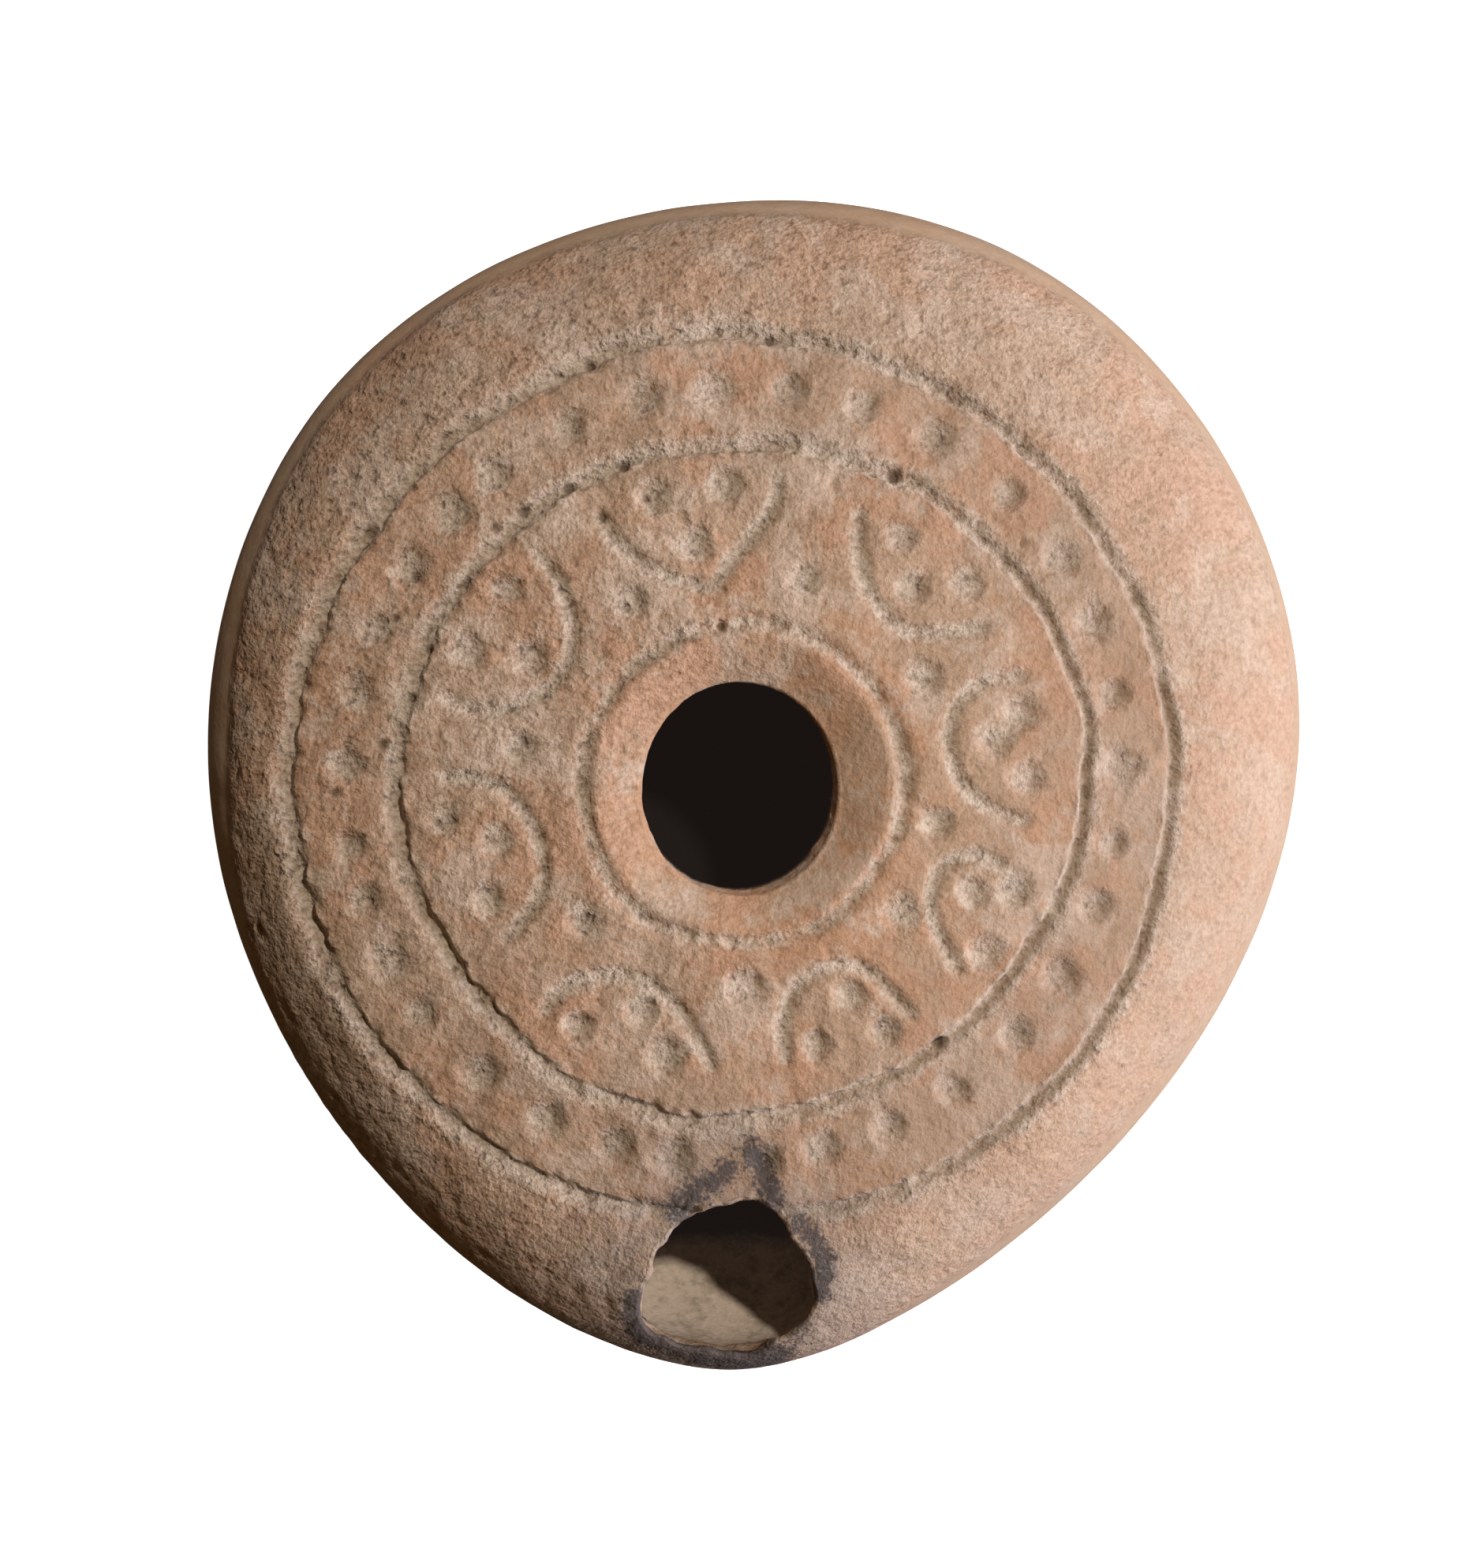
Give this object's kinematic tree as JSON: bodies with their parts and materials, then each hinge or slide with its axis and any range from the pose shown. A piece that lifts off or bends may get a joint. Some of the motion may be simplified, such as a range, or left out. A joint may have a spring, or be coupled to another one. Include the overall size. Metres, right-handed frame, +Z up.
{
  "type": "ceramic oil lamp",
  "caption": "Round mould-made clay oil lamp with a domed, incised and punched top, a central filling hole and a wick hole at its blunt nozzle.",
  "frame": {"origin": "on the plane the foot stands on, under the middle of the outline's box", "axes": "+Z up from the foot through the filling hole, nozzle towards -Y, +X to the right seen from above with the nozzle nearest"},
  "size_m": [0.0808, 0.0864, 0.0295],
  "materials": {
    "fired_clay": "unglazed, matt, worn, with pale grey-beige encrustation and soot round the wick hole"
  },
  "bodies": {
    "root": {"lamp_body": "fired_clay"}
  },
  "joints": []
}
